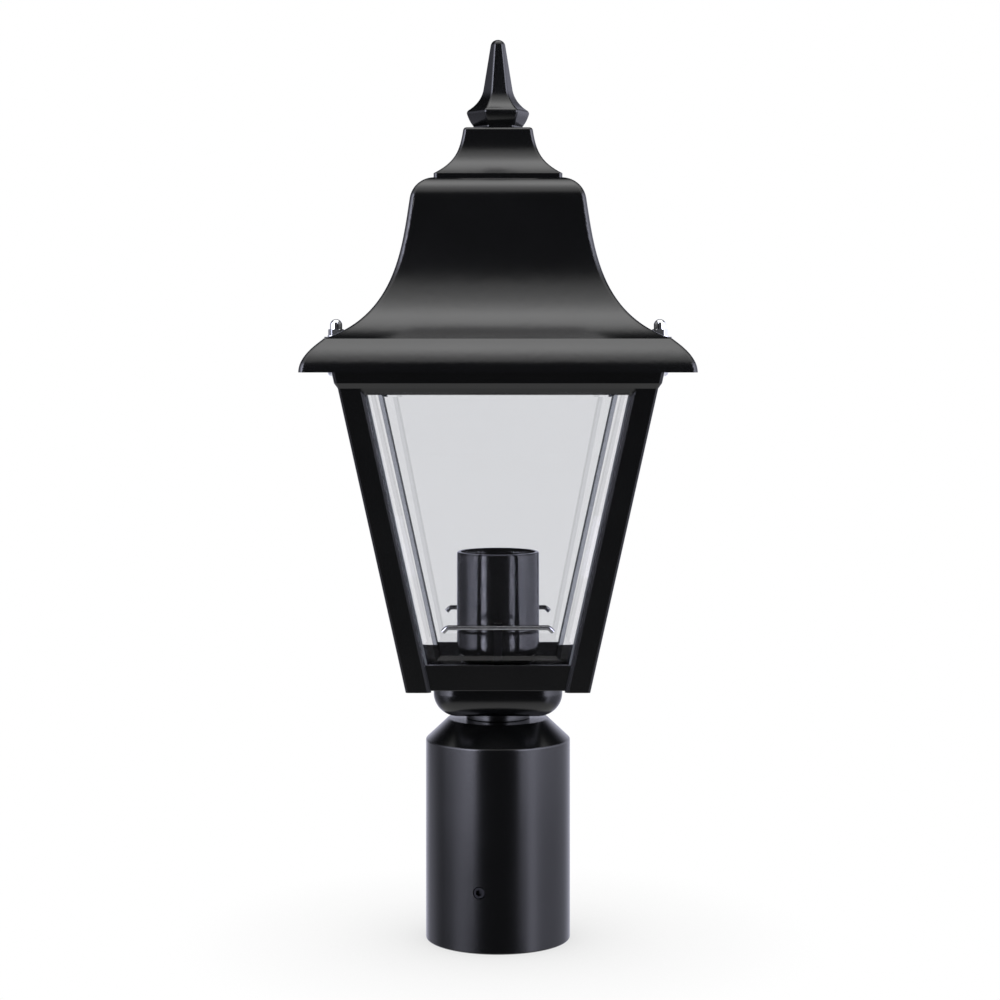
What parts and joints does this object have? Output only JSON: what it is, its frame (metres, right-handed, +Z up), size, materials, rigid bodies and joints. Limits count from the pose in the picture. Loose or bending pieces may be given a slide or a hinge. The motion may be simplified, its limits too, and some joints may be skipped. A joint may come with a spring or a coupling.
{
  "type": "post top lantern",
  "caption": "Square tapered post top lantern with bevelled glass panes, a bell-shaped lift-off roof, an six-sided finial and a sleeve for a round post.",
  "frame": {"origin": "centre of the bottom rim of the post sleeve, on the axis of the post", "axes": "+Z up along the post, -Y to the front, +X to the viewer's right, through one of the cap nuts"},
  "size_m": [0.1868, 0.1868, 0.4525],
  "materials": {
    "black_coat": "cast aluminium with a semi-gloss black powder coat",
    "zinc_steel": "zinc plated steel",
    "black_steel": "blackened steel",
    "chrome": "chrome plated",
    "spring_steel": "bright spring wire",
    "rubber": "black rubber",
    "seal_grey": "soft grey glazing profile",
    "clear_glass": "clear polished glass with bevelled edges",
    "holder_black": "glossy black moulding",
    "brass": "bright brass",
    "ceramic": "unglazed white ceramic",
    "block_white": "white moulding",
    "lead_brown": "brown insulation",
    "lead_blue": "blue insulation"
  },
  "bodies": {
    "base": {"post_sleeve": "black_coat", "neck_collar": "black_coat", "base_bowl": "black_coat", "cage": "black_coat", "stem_tube": "zinc_steel", "stem_nuts": "zinc_steel", "stem_washers": "zinc_steel", "cage_screws": "zinc_steel", "earth_screw": "zinc_steel", "earth_washer": "zinc_steel", "holder_nipple": "zinc_steel", "nipple_nut": "zinc_steel", "roof_screws": "chrome", "spring_wire_front": "spring_steel", "spring_wire_back": "spring_steel", "contact_spring": "spring_steel", "cable_bush": "rubber", "roof_gasket": "rubber", "pane_front": "clear_glass", "pane_right": "clear_glass", "pane_back": "clear_glass", "pane_left": "clear_glass", "holder_cap": "holder_black", "holder_sleeve": "holder_black", "screw_shell": "brass", "terminal_screws": "brass", "spring_brackets": "black_steel", "spring_screws": "black_steel", "holder_strap": "black_steel", "strap_screws": "black_steel", "corner_seals": "seal_grey", "holder_core": "ceramic", "terminal_block": "block_white", "lead_live": "lead_brown", "lead_neutral": "lead_blue"},
    "roof": {"roof": "black_coat", "upper_cap": "black_coat", "finial": "black_coat", "finial_stud": "zinc_steel", "finial_nut": "zinc_steel", "finial_washer": "zinc_steel", "roof_washers": "chrome"},
    "nut_left": {"cap_nut_left": "chrome"},
    "nut_right": {"cap_nut_right": "chrome"},
    "set_screw_a": {"set_screw_1": "black_steel"},
    "set_screw_b": {"set_screw_2": "black_steel"},
    "set_screw_c": {"set_screw_3": "black_steel"},
    "lamp_contact": {"centre_contact": "brass"}
  },
  "joints": [
    {"name": "roof_lift", "type": "slide", "parent": "base", "child": "roof", "axis": [0, 0, 1], "range_m": [0, 0.15]},
    {"name": "nut_left_turn", "type": "hinge", "parent": "roof", "child": "nut_left", "pos_m": [-0.08171, 0, 0.306], "axis": [0, 0, 1], "continuous": true},
    {"name": "nut_right_turn", "type": "hinge", "parent": "roof", "child": "nut_right", "pos_m": [0.08171, 0, 0.306], "axis": [0, 0, 1], "continuous": true},
    {"name": "set_screw_a_feed", "type": "slide", "parent": "base", "child": "set_screw_a", "axis": [0.2588, 0.9659, 0], "range_m": [-0.003, 0.004]},
    {"name": "set_screw_b_feed", "type": "slide", "parent": "base", "child": "set_screw_b", "axis": [-0.9659, -0.2588, 0], "range_m": [-0.003, 0.004]},
    {"name": "set_screw_c_feed", "type": "slide", "parent": "base", "child": "set_screw_c", "axis": [0.7071, -0.7071, 0], "range_m": [-0.003, 0.004]},
    {"name": "contact_press", "type": "slide", "parent": "base", "child": "lamp_contact", "axis": [0, 0, -1], "range_m": [0, 0.0015], "stiffness_N_per_m": 2000, "deforming": ["contact_spring"]}
  ]
}
